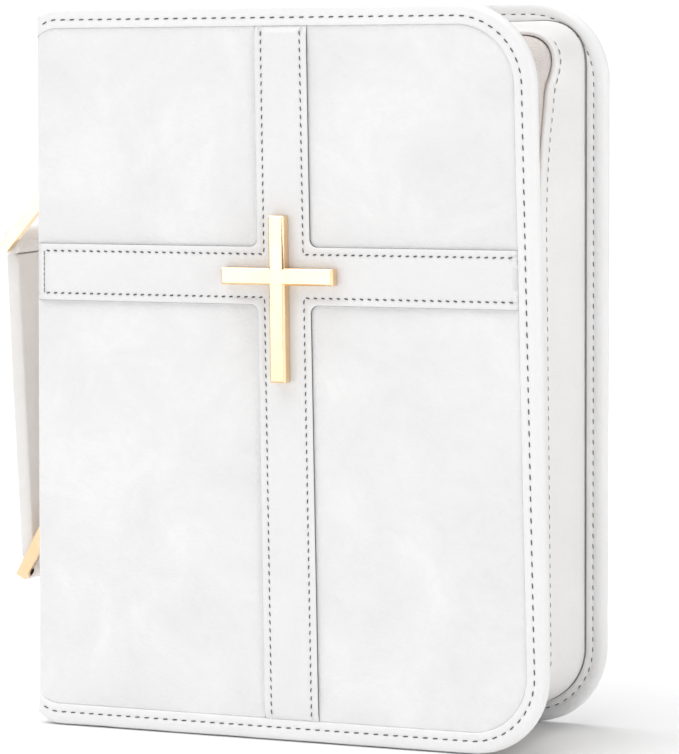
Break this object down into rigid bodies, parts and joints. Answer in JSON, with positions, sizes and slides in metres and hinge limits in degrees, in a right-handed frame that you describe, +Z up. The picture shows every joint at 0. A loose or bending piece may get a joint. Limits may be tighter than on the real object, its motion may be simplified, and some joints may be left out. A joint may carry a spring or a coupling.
{
  "type": "zipped bible cover with bible",
  "caption": "Upright white leather-look zip case with a stitched leather cross and a gold metal cross on its front, a ring-hung spine handle, and a Bible in pockets inside.",
  "frame": {"origin": "centre of the overall bounding box, on the ground under the upright case", "axes": "+Z up, +X from the spine towards the fore-edge, -Y is the front cover with the cross"},
  "size_m": [0.2274, 0.0776, 0.27],
  "materials": {
    "cover_leather": "soft matt grain with faint marbling",
    "smooth_leather": "smooth satin",
    "handle_leather": "smooth satin",
    "gusset_leather": "fine matt grain",
    "lining": "fine woven lining",
    "board": "matt grey board",
    "zip_tape": "herringbone tape",
    "zip_coil": "nylon coil",
    "gold": "polished pale gold plating",
    "plain_metal": "plain stamped",
    "handle_core": "stiff foam",
    "pages": "trimmed page edges",
    "bible_cover": "brown bonded leather",
    "headband": "striped thread"
  },
  "bodies": {
    "back_shell": {"back_edge_band": "smooth_leather", "back_cover_skin": "cover_leather", "back_board": "board", "back_lining": "lining", "back_sleeve": "lining", "spine_panel": "cover_leather", "spine_board": "board", "spine_lining": "lining", "spine_band_top": "smooth_leather", "spine_band_bottom": "smooth_leather", "gusset_strip": "gusset_leather", "zip_tape_back": "zip_tape", "zip_teeth_back": "zip_coil", "zip_stop_back_top": "gold", "zip_stop_back_bottom": "gold", "handle_tab_top": "cover_leather", "handle_tab_bottom": "cover_leather", "bible_page_block": "pages", "bible_back_cover": "bible_cover", "bible_spine": "bible_cover", "bible_headband_top": "headband", "bible_headband_bottom": "headband"},
    "front_cover": {"front_edge_band": "smooth_leather", "front_cover_skin": "cover_leather", "front_board": "board", "front_lining": "lining", "front_sleeve": "lining", "cross_overlay_band": "smooth_leather", "cross_emblem": "gold", "emblem_washer_upper": "plain_metal", "emblem_washer_lower": "plain_metal", "zip_tape_front": "zip_tape", "zip_teeth_front": "zip_coil", "zip_stop_front_top": "gold", "zip_stop_front_bottom": "gold", "bible_front_cover": "bible_cover"},
    "slider": {"zip_slider": "gold"},
    "pull": {"zip_pull": "gold"},
    "ring_top": {"handle_ring_top": "gold"},
    "handle": {"handle_strap": "handle_leather", "handle_core": "handle_core"},
    "ring_bottom": {"handle_ring_bottom": "gold"}
  },
  "joints": [
    {"name": "front_cover_opening", "type": "hinge", "parent": "back_shell", "child": "front_cover", "pos_m": [-0.08927, -0.0277, 0.135], "axis": [0, 0, -1], "range_deg": [0, 175]},
    {"name": "zip_slide", "type": "slide", "parent": "back_shell", "child": "slider", "axis": [1, 0, 0], "range_m": [0, 0.13]},
    {"name": "zip_pull_lift", "type": "hinge", "parent": "slider", "child": "pull", "pos_m": [-0.05527, -0.01475, 0.2622], "axis": [0, -1, 0], "range_deg": [0, 170]},
    {"name": "handle_lift", "type": "hinge", "parent": "back_shell", "child": "ring_top", "pos_m": [-0.09427, 0.00275, 0.1983], "axis": [0, 1, 0], "range_deg": [0, 60]},
    {"name": "handle_turn", "type": "hinge", "parent": "ring_top", "child": "handle", "pos_m": [-0.10993, 0.00275, 0.18091], "axis": [0, 1, 0], "range_deg": [-58, 0]},
    {"name": "ring_bottom_turn", "type": "hinge", "parent": "back_shell", "child": "ring_bottom", "pos_m": [-0.09427, 0.00275, 0.0756], "axis": [0, 1, 0], "range_deg": [0, 66.5]}
  ],
  "couplings": [
    {"joint": "handle_turn", "follows": "handle_lift", "ratio": -0.9615},
    {"joint": "ring_bottom_turn", "follows": "handle_lift", "ratio": 1.1076}
  ]
}
